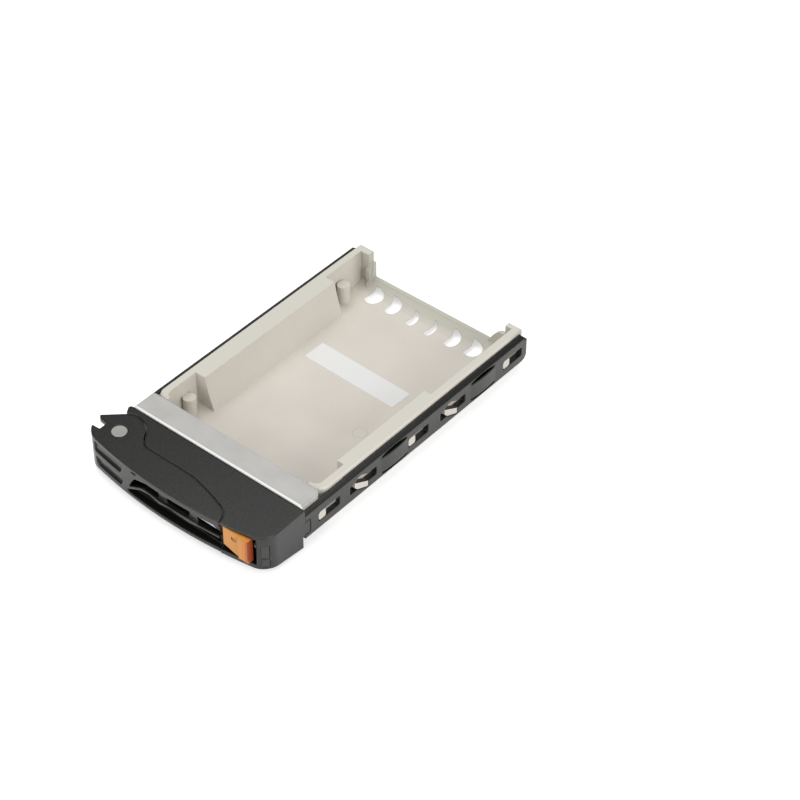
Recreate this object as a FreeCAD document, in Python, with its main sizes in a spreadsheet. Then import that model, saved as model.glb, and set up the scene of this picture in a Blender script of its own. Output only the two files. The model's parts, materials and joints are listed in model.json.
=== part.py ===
import FreeCAD, Part
import math
import os
import Sketcher

# A hot swap drive caddy for a 2.5 inch bay, with its moulded drive insert.
# Frame: origin on the middle line at the insert's underside, +Y to the rear, +Z up.
# The lever side is -X seen from above, the release latch side is +X.

doc = FreeCAD.newDocument("drive_caddy")
sheet = doc.addObject("Spreadsheet::Sheet", "Sizes")
Vector = FreeCAD.Vector
Rotation = FreeCAD.Rotation
Placement = FreeCAD.Placement


class Size:
    """A number together with the sheet expression that gives it."""

    def __init__(self, value, text):
        self.value = value
        self.text = text

    def __add__(self, other):
        other = as_size(other)
        return Size(self.value + other.value, "(%s + %s)" % (self.text, other.text))

    def __sub__(self, other):
        other = as_size(other)
        return Size(self.value - other.value, "(%s - %s)" % (self.text, other.text))

    def __mul__(self, other):
        other = as_size(other)
        return Size(self.value * other.value, "(%s * %s)" % (self.text, other.text))

    def __truediv__(self, other):
        other = as_size(other)
        return Size(self.value / other.value, "(%s / %s)" % (self.text, other.text))

    def __neg__(self):
        return Size(-self.value, "(0 - %s)" % self.text)

    def __radd__(self, other):
        return as_size(other) + self

    def __rsub__(self, other):
        return as_size(other) - self

    def __rmul__(self, other):
        return as_size(other) * self


def as_size(number):
    if isinstance(number, Size):
        return number
    return Size(float(number), "(%r)" % float(number))


def root(size):
    return Size(math.sqrt(size.value), "sqrt(%s)" % size.text)


def size(alias, value, note):
    """Write one driving dimension to the sheet and return it."""
    row = len(size.rows) + 1
    size.rows.append(alias)
    sheet.set("A%d" % row, alias)
    sheet.set("B%d" % row, "%r" % float(value))
    sheet.set("C%d" % row, note)
    sheet.setAlias("B%d" % row, alias)
    return Size(float(value), "Sizes.%s" % alias)


size.rows = []

# Whole caddy
rear_y = size("rear_y", 65.0, "rear end of the rails and the insert")
caddy_width = size("caddy_width", 74.3, "over both rails")
fit_gap = size("fit_gap", 0.12, "gap between pieces that clip together")
move_gap = size("move_gap", 0.3, "gap around pieces that move")
half_width = caddy_width / 2

# Drive insert
insert_width = size("insert_width", 69.85, "width of a 2.5 inch drive")
insert_length = size("insert_length", 99.6, "drive insert, front to rear")
insert_height = size("insert_height", 14.2, "drive insert, underside to top")
insert_floor = size("insert_floor", 1.5, "floor thickness")
insert_side = size("insert_side", 2.8, "side wall thickness")
insert_corner = size("insert_corner", 4.0, "front corner radius")
insert_edge = size("insert_edge", 0.45, "bevel of the outer top edge")
front_wall_t = size("front_wall_t", 1.8, "front wall and its corner returns")
front_wall_top = size("front_wall_top", 6.2, "top of the low front wall")
return_left_x = size("return_left_x", 30.0, "left front corner return ends here")
return_right_x = size("return_right_x", 29.3, "right front corner return ends here")
rear_wall_t = size("rear_wall_t", 1.7, "low rear wall")
rear_wall_top = size("rear_wall_top", 3.9, "top of the low rear wall")
rear_left_x = size("rear_left_x", 28.7, "left rear corner ends here")
rear_right_x = size("rear_right_x", 29.6, "right rear corner ends here")
rear_left_depth = size("rear_left_depth", 2.7, "left rear corner, front to rear")
rear_right_depth = size("rear_right_depth", 1.9, "right rear corner, front to rear")
rib_thick = size("rib_thick", 1.1, "rounded ribs beside the rear corners")
rib_top = size("rib_top", 10.2, "top of the rounded ribs")
rib_foot = size("rib_foot", 5.0, "reach of the ribs along the floor")
block_top_left = size("block_top_left", 28.1, "inner top edge of the left block")
block_top_right = size("block_top_right", 29.5, "inner top edge of the right block")
block_slope_left = size("block_slope_left", 3.2, "how far the left block widens below")
block_slope_right = size("block_slope_right", 1.0, "how far the right block widens below")
block_bow = size("block_bow", 0.35, "hollow curve of a block's face")
left_block_front = size("left_block_front", -18.9, "front end of the left block")
left_block_rear = size("left_block_rear", 44.1, "rear end of the left block")
right_block_front = size("right_block_front", -20.6, "front end of the right block")
right_block_rear = size("right_block_rear", 21.5, "rear end of the right block")
block_core_wall = size("block_core_wall", 1.6, "wall left by the coring under a block")
post_radius = size("post_radius", 2.25, "moulded posts")
post_top = size("post_top", 8.6, "top of the moulded posts")
front_post_x = size("front_post_x", -30.1, "front post")
front_post_y = size("front_post_y", -24.5, "front post")
rear_post_x = size("rear_post_x", -29.5, "rear post")
rear_post_y = size("rear_post_y", 50.1, "rear post")
cove_radius = size("cove_radius", 2.4, "cove between the floor and the rear wall")
crescent_rear_y = size("crescent_rear_y", 63.0, "rear tips of the crescent openings")
crescent_front_y = size("crescent_front_y", 55.0, "front tips of the crescent openings")
crescent_lean = size("crescent_lean", 2.6, "sideways lean of a crescent from tip to tip")
crescent_inner_bow = size("crescent_inner_bow", 0.7, "bow of the hollow side")
crescent_blunt = size("crescent_blunt", 0.9, "width of the blunt tips")
crescents = []
for number, place, bow in ((1, -26.4, 6.3), (2, -18.3, 5.3), (3, -7.6, 3.5), (4, 0.4, 3.3),
                           (5, 8.2, 5.6), (6, 16.3, 6.7)):
    crescents.append((size("crescent_%d_x" % number, place, "middle of a crescent's chord"),
                      size("crescent_%d_bow" % number, bow, "bow of its full side")))
insert_half = insert_width / 2
insert_front = rear_y - insert_length
insert_inner = insert_half - insert_side

# Label on the floor of the insert
label_length = size("label_length", 38.7, "paper label")
label_depth = size("label_depth", 8.8, "paper label")
label_thick = size("label_thick", 0.1, "paper label")
label_corner = size("label_corner", 0.5, "paper label")
label_x = size("label_x", -1.2, "middle of the label")
label_y = size("label_y", 24.1, "middle of the label")
label_turn = size("label_turn", -1.3, "the label is stuck on slightly turned, degrees")

# Side rails
rail_bottom = size("rail_bottom", 3.2, "lower edge of a rail")
rail_top_outer = size("rail_top_outer", 12.4, "top of a rail at its outer face")
rail_top_inner = size("rail_top_inner", 13.1, "top of a rail at its inner edge")
rail_front = size("rail_front", -44.18, "front end of a rail")
rail_rear_radius = size("rail_rear_radius", 2.5, "rounded lower rear corner")
rail_notch_depth = size("rail_notch_depth", 0.9, "notch in the top at the rear end")
rail_notch_length = size("rail_notch_length", 1.3, "notch in the top at the rear end")
slot_bottom = size("slot_bottom", 6.1, "snap slots")
slot_top = size("slot_top", 9.6, "snap slots")
slot_corner = size("slot_corner", 0.4, "snap slots")
slot_length = size("slot_length", 10.0, "snap slots")
front_slot_y = size("front_slot_y", -38.2, "front end of the front slot")
middle_slot_y = size("middle_slot_y", 4.4, "front end of the middle slot")
rear_slot_y = size("rear_slot_y", 52.4, "front end of the rear slot")
peg_size = size("peg_size", 3.2, "square snap pegs of the insert")
peg_corner = size("peg_corner", 0.8, "square snap pegs of the insert")
peg_start = size("peg_start", 0.25, "gap between slot end and peg")
window_front_y = size("window_front_y", -21.3, "front edge of the front lug window")
window_rear_y = size("window_rear_y", 22.5, "front edge of the rear lug window")
window_length = size("window_length", 6.6, "lug window")
window_slot_front = size("window_slot_front", 2.2, "slot ahead of a lug window")
window_slot_rear = size("window_slot_rear", 3.9, "slot behind a lug window")
window_top = size("window_top", 10.8, "highest edge of a lug window")
window_bottom = size("window_bottom", 3.8, "lowest edge of a lug window")
bow_front_y = size("bow_front_y", -8.3, "front end of the front bow spring")
bow_rear_y = size("bow_rear_y", 36.0, "front end of the rear bow spring")
bow_length = size("bow_length", 12.2, "bow spring, front to rear")
bow_bottom = size("bow_bottom", 4.9, "lower edge of a bow spring")
bow_top = size("bow_top", 10.8, "upper edge of a bow spring")
bow_rise = size("bow_rise", 0.5, "how far a bow spring stands out")
bow_thick = size("bow_thick", 0.9, "bow spring")
bow_skin = size("bow_skin", 0.5, "rail skin left behind a bow spring")
bow_pocket_low = size("bow_pocket_low", 4.1, "lower edge of the bow pocket at its ends")
bow_pocket_high = size("bow_pocket_high", 11.4, "upper edge of the bow pocket at its ends")
bow_pocket_arch = size("bow_pocket_arch", 0.65, "arch of the bow pocket's edges")
tongue_reach = size("tongue_reach", 2.1, "bezel tongue that clips into a rail")
tongue_bottom = size("tongue_bottom", 5.1, "lower edge of the bezel tongue")
tongue_top = size("tongue_top", 10.0, "upper edge of the bezel tongue")
tongue_slit = size("tongue_slit", 0.4, "slit around the bezel tongue")

# Shield of sheet metal
sheet_thick = size("sheet_thick", 0.4, "shield sheet")
shield_side_gap = size("shield_side_gap", 0.03, "shield arm to the insert's side")
shield_rear = size("shield_rear", -35.1, "rear edge of the shield's top band")
shield_front = size("shield_front", -44.2, "front face of the shield")
shield_top = size("shield_top", 15.2, "top of the shield")
shield_bottom = size("shield_bottom", 2.4, "lower edge of the shield's front web")
shield_bend = size("shield_bend", 1.0, "outer bend radius of the shield")
shield_corner = size("shield_corner", 1.5, "rounded rear corners of the top band")
arm_rear = size("arm_rear", -24.4, "rear end of a shield arm")
arm_bottom = size("arm_bottom", 4.2, "lower edge of a shield arm")
arm_top = size("arm_top", 12.3, "upper edge of a shield arm behind the band")
web_hole_x = size("web_hole_x", 3.6, "width of a hole in the front web")
web_hole_z = size("web_hole_z", 2.4, "height of a hole in the front web")
web_pitch_x = size("web_pitch_x", 5.0, "hole spacing across the front web")
web_pitch_z = size("web_pitch_z", 3.4, "hole spacing up the front web")
web_columns = 12
web_rows = 3
shield_half = insert_half + shield_side_gap + sheet_thick
rail_inner = insert_half + fit_gap
arm_seat = shield_half + shield_side_gap

# Bezel housing
bezel_rear = size("bezel_rear", -44.25, "rear edge of the bezel")
bezel_side_rear = size("bezel_side_rear", -45.2, "rear edge of the bezel below the rails")
bezel_front = size("bezel_front", -65.2, "front of the bezel on the middle line")
bezel_curve = size("bezel_curve", 183.0, "radius of the curved front")
bezel_corner = size("bezel_corner", 6.0, "rounded front right corner")
bezel_top_drop = size("bezel_top_drop", 0.6, "fall of the top towards the front")
bezel_top = size("bezel_top", 15.2, "top of the bezel at its rear edge")
bezel_foot = size("bezel_foot", 0.1, "underside of the bezel at its rear")
bezel_chin_y = size("bezel_chin_y", -59.7, "where the sloping underside ends")
bezel_chin = size("bezel_chin", 1.8, "underside of the bezel at its front")
bezel_skin = size("bezel_skin", 1.5, "wall of the bezel")
hollow_front = size("hollow_front", -52.0, "front end of the hollow behind the grille")
grille_bar = size("grille_bar", 2.2, "bars of the inner grille")
grille_count = 4
ear_x = size("ear_x", -36.1, "left ear of the bezel")
ear_radius = size("ear_radius", 1.05, "rounded rear corner of the left ear")
ear_y = bezel_rear - ear_radius

# Lever handle
pivot_x = size("pivot_x", -30.6, "lever pivot")
pivot_y = size("pivot_y", -54.9, "lever pivot")
hub_radius = size("hub_radius", 8.15, "lever hub")
lever_rear = size("lever_rear", -54.8, "straight rear edge of the lever")
lever_seam = size("lever_seam", 0.22, "seam between lever and bezel")
lever_bottom = size("lever_bottom", 2.1, "underside of the lever")
lever_skin = size("lever_skin", 1.5, "plates and front wall of the lever")
lever_end_x = size("lever_end_x", 20.2, "free end of the lever")
lever_end_y = size("lever_end_y", -63.9, "free end of the lever")
lever_bend_x = size("lever_bend_x", 16.5, "where the rear edge turns to the free end")
lever_bend_y = size("lever_bend_y", -58.9, "where the rear edge turns to the free end")
lever_bend_radius = size("lever_bend_radius", 7.0, "rear corner at the free end")
lever_sweep_radius = size("lever_sweep_radius", 92.0, "long bend of the rear edge")
hub_end_x = size("hub_end_x", -23.1, "where the hub meets the rear edge")
hub_end_y = size("hub_end_y", -51.6, "where the hub meets the rear edge")
hub_run = size("hub_run", 2.9, "run from the hub to the straight rear edge")
hub_start_x = size("hub_start_x", 3.4, "start of the hub's arc, left of the pivot")
hub_start_y = size("hub_start_y", 7.4, "start of the hub's arc, behind the pivot")
hub_fillet = size("hub_fillet", 3.0, "inner corner beside the hub")
strip_depth = size("strip_depth", 5.2, "bottom strip of the lever, front to rear")
foot_radius = size("foot_radius", 6.2, "lower plate of the lever hub")
recess_depth = size("recess_depth", 0.7, "recesses in the lever's front")
vent_depth = size("vent_depth", -62.2, "rear end of the cuts for the lever's vents")
hook_tip_x = size("hook_tip_x", -40.6, "tip of the lever's hook")
hook_tip_y = size("hook_tip_y", -53.4, "tip of the lever's hook")
tooth_x = size("tooth_x", -39.4, "tooth below the lever's hook")
tooth_y = size("tooth_y", -58.1, "tooth below the lever's hook")
hook_root_x = size("hook_root_x", -36.25, "inner end of the notch between hook and tooth")
pin_seat = size("pin_seat", 14.75, "seat of the pin head in the lever")
pin_end = size("pin_end", 1.1, "lower end of the lever pin")
pin_radius = size("pin_radius", 1.5, "lever pin")
pin_clearance = size("pin_clearance", 0.05, "running fit of the lever pin")
pin_head_radius = size("pin_head_radius", 2.55, "head of the lever pin")
pin_head_height = size("pin_head_height", 0.35, "head of the lever pin")
boss_radius = size("boss_radius", 3.0, "bezel boss on the lever pin")
boss_low = size("boss_low", 3.9, "lower end of the bezel boss")
boss_high = size("boss_high", 13.1, "upper end of the bezel boss")
boss_foot_top = size("boss_foot_top", 6.4, "top of the boss foot, under the coil")
boss_foot_radius = size("boss_foot_radius", 4.9, "boss foot")
arm_half = size("arm_half", 2.6, "half width of the arm that carries the boss")
clip_thick = size("clip_thick", 0.5, "retaining ring under the lever")
clip_radius = size("clip_radius", 2.6, "retaining ring under the lever")
clip_mouth = size("clip_mouth", 1.2, "opening of the retaining ring")
spring_wire = size("spring_wire", 0.6, "wire of the lever spring")
spring_turns = 3
coil_steps = 10
spring_pitch = size("spring_pitch", 0.8, "pitch of the lever spring")
spring_gap = size("spring_gap", 0.3, "lever spring to the boss")
front_leg_length = foot_radius - spring_gap
rear_leg_length = hub_radius - 1

# Release latch
latch_left = size("latch_left", 21.7, "left edge of the latch plate")
latch_ridge_left = size("latch_ridge_left", 28.2, "left foot of the latch ridge")
latch_right = size("latch_right", 31.4, "right flank of the latch")
latch_bottom = size("latch_bottom", 4.4, "lowest point of the latch")
latch_plate_bottom = size("latch_plate_bottom", 6.4, "underside at the left edge")
latch_top = size("latch_top", 13.7, "top of the latch")
latch_proud = size("latch_proud", 1.3, "how far the ridge stands out")
latch_plate_t = size("latch_plate_t", 1.6, "latch plate")
latch_travel = size("latch_travel", 1.3, "travel of the latch to the right")
latch_stem_left = size("latch_stem_left", 24.4, "left side of the latch stem")
latch_stem_right = size("latch_stem_right", 29.0, "right side of the latch stem")
latch_stem_rear = size("latch_stem_rear", -52.6, "rear end of the latch stem")
latch_stem_low = size("latch_stem_low", 5.4, "underside of the latch stem")
latch_stem_high = size("latch_stem_high", 12.0, "top of the latch stem")
latch_dimple_x = size("latch_dimple_x", 26.0, "middle of the finger dimple")
latch_dimple_z = size("latch_dimple_z", 11.0, "middle of the finger dimple")
flange_lip = size("flange_lip", 0.8, "lip that keeps the latch stem in its slot")
latch_dimple = size("latch_dimple", 0.9, "finger dimple of the latch")
cavity_right = size("cavity_right", 33.4, "right wall of the latch opening")
cavity_bottom = size("cavity_bottom", 3.3, "bottom lip under the latch")
cavity_top = size("cavity_top", 13.95, "underside of the bezel above the latch")
cavity_rear = size("cavity_rear", -56.6, "rear wall of the latch opening")
coil_radius = size("coil_radius", 1.6, "latch spring, middle of the wire")
coil_wire = size("coil_wire", 0.4, "latch spring wire")
coil_turns = 3
coil_y = size("coil_y", -58.85, "axis of the latch spring")
coil_z = size("coil_z", 9.0, "axis of the latch spring")

# Light pipes
pipe_left = size("pipe_left", 34.7, "left side of the light pipes")
pipe_right = size("pipe_right", 36.3, "right side of the light pipes")
pipe_low = size("pipe_low", 2.9, "lower edge of the lower light pipe")
pipe_split_low = size("pipe_split_low", 5.9, "upper edge of the lower light pipe")
pipe_split_high = size("pipe_split_high", 6.5, "lower edge of the upper light pipe")
pipe_high = size("pipe_high", 11.6, "upper edge of the upper light pipe")
pipe_rear = size("pipe_rear", -46.4, "rear end of the light pipes")

doc.recompute()
SIDES = {"left": -1, "right": 1}


# Sketch and feature helpers
def new_body(label):
    body = doc.addObject("PartDesign::Body", label)
    body.Label = label
    return body


class Tilt:
    """A place for a sketch: offset of its plane, a shift along it and a turn."""

    def __init__(self, offset, shift, turn):
        self.offset = as_size(offset)
        self.shift = as_size(shift)
        self.turn = as_size(turn)


def attach(body, name, plane, at):
    """A sketch on an origin plane, moved along that plane's own world axis."""
    sketch = body.newObject("Sketcher::SketchObject", name)
    for part in body.Origin.OriginFeatures:
        if part.Role == plane + "_Plane":
            sketch.AttachmentSupport = [(part, "")]
    sketch.MapMode = "FlatFace"
    if not isinstance(at, Tilt):
        at = Tilt(at, 0, 0)
    offset = at.offset
    if plane == "XZ":
        offset = -offset
    turn = Rotation(Vector(0, 1, 0), at.turn.value)
    sketch.AttachmentOffset = Placement(Vector(at.shift.value, 0, offset.value), turn)
    sketch.setExpression("AttachmentOffset.Base.x", at.shift.text)
    sketch.setExpression("AttachmentOffset.Base.z", offset.text)
    return sketch


class Arc:
    """Marks the next edge of an outline as an arc of a given radius. A positive
    one bends to the left of the way of travel, a negative one to the right."""

    def __init__(self, radius):
        self.radius = as_size(radius)

    def settle(self, start, end):
        half2 = (distance2(start, end) / 4).value
        bend = abs(self.radius.value)
        rise = bend - math.sqrt(bend * bend - half2)
        self.rise = math.copysign(rise, self.radius.value)
        if self.radius.value < 0:
            self.radius = -self.radius


class Bow:
    """Marks the next edge as an arc that stands off its chord by a given rise."""

    def __init__(self, rise):
        self.height = as_size(rise)
        self.rise = self.height.value

    def settle(self, start, end):
        height = self.height
        if height.value < 0:
            height = -height
        self.radius = distance2(start, end) / (8 * height) + height / 2


def distance2(start, end):
    """Square of the distance between two corners."""
    across = end[0] - start[0]
    upward = end[1] - start[1]
    return across * across + upward * upward


def arc_beside(start, end, rise):
    """Arc from start to end whose middle stands off the chord by the rise."""
    chord = end - start
    side = Vector(-chord.y, chord.x, 0).normalize()
    return turned_arc(start, (start + end) / 2 + side * rise, end)


def turned_arc(start, middle, end):
    """An arc that always runs anticlockwise, as sketches keep them."""
    turn = (middle - start).cross(end - middle).z
    if turn < 0:
        start, end = end, start
    return Part.Arc(start, middle, end)


def outline(body, name, plane, at, items):
    """A closed sketch. Corners are (u, v) or (u, v, fillet radius)."""
    sketch = attach(body, name, plane, at)
    corners = []
    bends = {}
    for item in items:
        if isinstance(item, (Arc, Bow)):
            bends[len(corners) - 1] = item
        else:
            corners.append([as_size(value) for value in item])
    count = len(corners)
    for i, bend in bends.items():
        bend.settle(corners[i], corners[(i + 1) % count])
    points = [Vector(c[0].value, c[1].value, 0) for c in corners]
    geometry = []
    entry = {}
    leave = {}
    for i, corner in enumerate(corners):
        entry[i] = points[i]
        leave[i] = points[i]
        if len(corner) > 2:
            before = (points[i - 1] - points[i]).normalize()
            after = (points[(i + 1) % count] - points[i]).normalize()
            angle = math.acos(before.dot(after))
            run = corner[2].value / math.tan(angle / 2)
            entry[i] = points[i] + before * run
            leave[i] = points[i] + after * run
    edge = {}
    for i in range(count):
        after = (i + 1) % count
        edge[i] = len(geometry)
        if i in bends:
            geometry.append(arc_beside(leave[i], entry[after], bends[i].rise))
        else:
            geometry.append(Part.LineSegment(leave[i], entry[after]))
    fillet = {}
    for i, corner in enumerate(corners):
        if len(corner) > 2:
            fillet[i] = len(geometry)
            middle = (entry[i] + leave[i]) / 2
            inward = (middle - points[i]).normalize()
            radius = corner[2].value
            half = (leave[i] - entry[i]).Length / 2
            centre = middle + inward * math.sqrt(radius * radius - half * half)
            top = centre - inward * radius
            geometry.append(turned_arc(entry[i], top, leave[i]))
    sketch.addGeometry(geometry, False)
    marks = {}
    for i in fillet:
        marks[i] = sketch.addGeometry(Part.Point(points[i]), True)

    def ends(index, want_start):
        """Start or end point number of an edge, since arcs may run backwards."""
        shape = sketch.Geometry[index]
        target = want_start
        near = (shape.StartPoint - target).Length < (shape.EndPoint - target).Length
        return 1 if near else 2

    rules = []
    driven = []
    for i in range(count):
        before = edge[(i - 1) % count]
        after = edge[i]
        if i in fillet:
            rules.append(("Tangent", before, ends(before, entry[i]), fillet[i],
                          ends(fillet[i], entry[i])))
            rules.append(("Tangent", fillet[i], ends(fillet[i], leave[i]), after,
                          ends(after, leave[i])))
            rules.append(("PointOnObject", marks[i], 1, before))
            rules.append(("PointOnObject", marks[i], 1, after))
            driven.append((("Radius", fillet[i]), corners[i][2]))
            place = (marks[i], 1)
        else:
            rules.append(("Coincident", before, ends(before, entry[i]), after,
                          ends(after, leave[i])))
            place = (after, ends(after, leave[i]))
        driven.append((("DistanceX",) + place, corners[i][0]))
        driven.append((("DistanceY",) + place, corners[i][1]))
    for i, bend in bends.items():
        driven.append((("Radius", edge[i]), bend.radius))
    constraints = [Sketcher.Constraint(*rule) for rule in rules]
    constraints += [Sketcher.Constraint(*(rule + (value.value,))) for rule, value in driven]
    sketch.addConstraint(constraints)
    for number, (rule, value) in enumerate(driven):
        sketch.setExpression("Constraints[%d]" % (len(rules) + number), value.text)
    if sketch.solve() != 0:
        raise ValueError("%s of %s does not solve" % (name, body.Label))
    return sketch


def disc(body, name, plane, at, u, v, radius):
    sketch = attach(body, name, plane, at)
    place = [as_size(u), as_size(v), as_size(radius)]
    centre = Vector(place[0].value, place[1].value, 0)
    sketch.addGeometry(Part.Circle(centre, Vector(0, 0, 1), place[2].value), False)
    sketch.addConstraint([
        Sketcher.Constraint("DistanceX", 0, 3, place[0].value),
        Sketcher.Constraint("DistanceY", 0, 3, place[1].value),
        Sketcher.Constraint("Radius", 0, place[2].value)])
    for number, value in enumerate(place):
        sketch.setExpression("Constraints[%d]" % number, value.text)
    return sketch


def box_outline(body, name, plane, at, u0, v0, u1, v1, corner=None):
    """A rectangle from (u0, v0) to (u1, v1), with rounded corners if asked."""
    spots = [(u0, v0), (u1, v0), (u1, v1), (u0, v1)]
    if corner is not None:
        spots = [spot + (corner,) for spot in spots]
    return outline(body, name, plane, at, spots)


def pad(body, sketch, length, reverse=False):
    feature = body.newObject("PartDesign::Pad", sketch.Name + "_pad")
    feature.Profile = sketch
    length = as_size(length)
    feature.Length = length.value
    feature.setExpression("Length", length.text)
    feature.Reversed = reverse
    return finish(sketch, feature, body)


def pocket(body, sketch, length=None, reverse=False):
    """Cut away from the sketch's normal; without a length it cuts through all."""
    feature = body.newObject("PartDesign::Pocket", sketch.Name + "_cut")
    feature.Profile = sketch
    if length is None:
        feature.Type = 1
    else:
        length = as_size(length)
        feature.Length = length.value
        feature.setExpression("Length", length.text)
    feature.Reversed = reverse
    before = body.Shape.Volume
    finish(sketch, feature, body)
    if before - body.Shape.Volume < 0.001:
        raise ValueError("%s cuts nothing" % feature.Name)
    return feature


def finish(sketch, feature, body):
    sketch.Visibility = False
    body.Tip = feature
    doc.recompute()
    if feature.State and ("Invalid" in feature.State or "Error" in feature.State):
        raise ValueError("%s of %s does not build" % (feature.Name, body.Label))
    return feature


def round_edges(body, label, radius, chosen, kind="Fillet"):
    """Fillet or chamfer the edges of the tip that the test picks."""
    tip = body.Tip
    names = []
    for number, item in enumerate(tip.Shape.Edges):
        if chosen(item.BoundBox):
            names.append("Edge%d" % (number + 1))
    feature = body.newObject("PartDesign::" + kind, label)
    feature.Base = (tip, names)
    reach = "Radius" if kind == "Fillet" else "Size"
    setattr(feature, reach, radius.value)
    feature.setExpression(reach, radius.text)
    body.Tip = feature
    doc.recompute()
    if not feature.Shape.isValid() or feature.Shape.isNull():
        raise ValueError("%s does not build" % label)
    return feature


# Drive insert, one moulding
def crescent(body, number, middle_x, outer_bow):
    """An opening between two arcs, blunt at both tips, like a moon's phase."""
    rear_x = middle_x - crescent_lean / 2
    front_x = middle_x + crescent_lean / 2
    sketch = outline(body, "crescent%d" % number, "XY", insert_floor + cove_radius, [
        (rear_x, crescent_rear_y), Bow(crescent_inner_bow), (front_x, crescent_front_y),
        (front_x + crescent_blunt, crescent_front_y), Bow(-outer_bow),
        (rear_x + crescent_blunt, crescent_rear_y)])
    pocket(body, sketch, insert_floor + cove_radius + 1)


def lug_outline(y0, inset):
    """The hooked lug that fills the lower front part of a rail window."""
    return [
        (y0 + 0.1 + inset, 9.4 - inset), (y0 + 1.3, 8.8 - inset), (y0 + 6.2, 6.2 - inset),
        (y0 + window_length - inset, 6.2 - inset),
        (y0 + window_length - inset, window_bottom + inset),
        (y0 + 6.0, window_bottom + inset), (y0 + 1.5 + inset, 5.7 + inset),
        (y0 + 0.2 + inset, 7.0 + inset)]


def make_insert():
    body = new_body("drive_insert")
    tray = outline(body, "tray", "XY", 0, [
        (-insert_half, insert_front, insert_corner), (insert_half, insert_front, insert_corner),
        (insert_half, rear_y), (-insert_half, rear_y)])
    pad(body, tray, insert_height)
    inner_radius = insert_corner - front_wall_t
    well = outline(body, "well", "XY", insert_height, [
        (-insert_inner, insert_front + front_wall_t, inner_radius),
        (insert_inner, insert_front + front_wall_t, inner_radius),
        (insert_inner, rear_y - rear_wall_t), (-insert_inner, rear_y - rear_wall_t)])
    pocket(body, well, insert_height - insert_floor)
    front_gap = box_outline(body, "front_gap", "XZ", insert_front - 1, -return_left_x,
                            front_wall_top, return_right_x, insert_height + 1)
    pocket(body, front_gap, front_wall_t + 1.5)
    rear_gap = box_outline(body, "rear_gap", "XZ", rear_y - rear_wall_t - 1, -rear_left_x,
                           rear_wall_top, rear_right_x, insert_height + 1)
    pocket(body, rear_gap, rear_wall_t + 2)

    # Full height corners at the rear, and the rounded ribs beside them
    corners = {"left": (-1, rear_left_x, rear_left_depth),
               "right": (1, rear_right_x, rear_right_depth)}
    for name, (side, inner_x, depth) in corners.items():
        corner = box_outline(body, name + "_corner", "XY", insert_height, side * inner_x,
                             rear_y - depth, side * (insert_half - 1), rear_y)
        pad(body, corner, insert_height - 0.5, True)
        rib = outline(body, name + "_rib", "YZ", side * inner_x, [
            (rear_y, insert_floor / 2), (rear_y, rib_top), (rear_y - 1.3, rib_top, 1.0),
            (rear_y - 2.4, rear_wall_top + 1.2, 1.6), (rear_y - rib_foot, insert_floor, 0.8),
            (rear_y - rib_foot, insert_floor / 2)])
        pad(body, rib, rib_thick, side > 0)

    # Sloping blocks that stand in for the flanks of a drive
    blocks = {
        "left": (-1, block_top_left, block_slope_left, left_block_front, left_block_rear),
        "right": (1, block_top_right, block_slope_right, right_block_front, right_block_rear)}
    for name, (side, top_x, slope, front, rear) in blocks.items():
        foot_x = side * (top_x - slope)
        block = outline(body, name + "_block", "XZ", rear, [
            (side * (insert_half - 1), insert_floor / 2), (side * (insert_half - 1), insert_height),
            (side * top_x, insert_height), Bow(side * block_bow), (foot_x, insert_floor),
            (foot_x, insert_floor / 2)])
        pad(body, block, rear - front)

    # Coring from below, so that the blocks keep an even wall
    for name, (side, top_x, slope, front, rear) in blocks.items():
        wall = block_core_wall
        core = outline(body, name + "_core", "XZ", front + wall, [
            (side * (insert_half - wall), -1), (side * (insert_half - wall), insert_height - wall),
            (side * (top_x + wall), insert_height - wall),
            (side * (top_x - slope + wall), insert_floor),
            (side * (top_x - slope + wall), -1)])
        pocket(body, core, rear - front - wall * 2)

    for name, x, y in (("front", front_post_x, front_post_y), ("rear", rear_post_x, rear_post_y)):
        post = disc(body, name + "_post", "XY", insert_floor / 2, x, y, post_radius)
        pad(body, post, post_top - insert_floor / 2)

    # Cove along the rear wall, then the six crescent openings through it
    cove = outline(body, "cove", "YZ", -insert_inner, [
        (rear_y - rear_wall_t + 0.3, insert_floor - 0.3),
        (rear_y - rear_wall_t + 0.3, insert_floor + cove_radius),
        (rear_y - rear_wall_t, insert_floor + cove_radius), Arc(cove_radius),
        (rear_y - rear_wall_t - cove_radius, insert_floor),
        (rear_y - rear_wall_t - cove_radius, insert_floor - 0.3)])
    pad(body, cove, insert_inner * 2)
    for number, (middle_x, outer_bow) in enumerate(crescents):
        crescent(body, number + 1, middle_x, outer_bow - crescent_blunt)

    # Lugs and square pegs that hold the insert in the rails
    peg_low = slot_bottom + (slot_top - slot_bottom - peg_size) / 2
    reach = half_width - insert_half
    for name, side in SIDES.items():
        for place, y0 in (("front", window_front_y), ("rear", window_rear_y)):
            lug = outline(body, "%s_%s_lug" % (name, place), "YZ", side * (half_width - 0.15),
                          lug_outline(y0, fit_gap))
            pad(body, lug, reach + 0.3, side > 0)
        finger = box_outline(body, name + "_finger", "YZ", side * (insert_half - 1.6),
                             front_slot_y + peg_start - 0.3, peg_low - 0.2,
                             insert_front + insert_corner, peg_low + peg_size + 0.2)
        pad(body, finger, 1.6, side < 0)
        slots = (("front", front_slot_y), ("middle", middle_slot_y), ("rear", rear_slot_y))
        for place, y0 in slots:
            start = y0 + peg_start
            peg = box_outline(body, "%s_%s_peg" % (name, place), "YZ", side * half_width,
                              start, peg_low, start + peg_size, peg_low + peg_size, peg_corner)
            pad(body, peg, reach + 0.5, side > 0)

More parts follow.
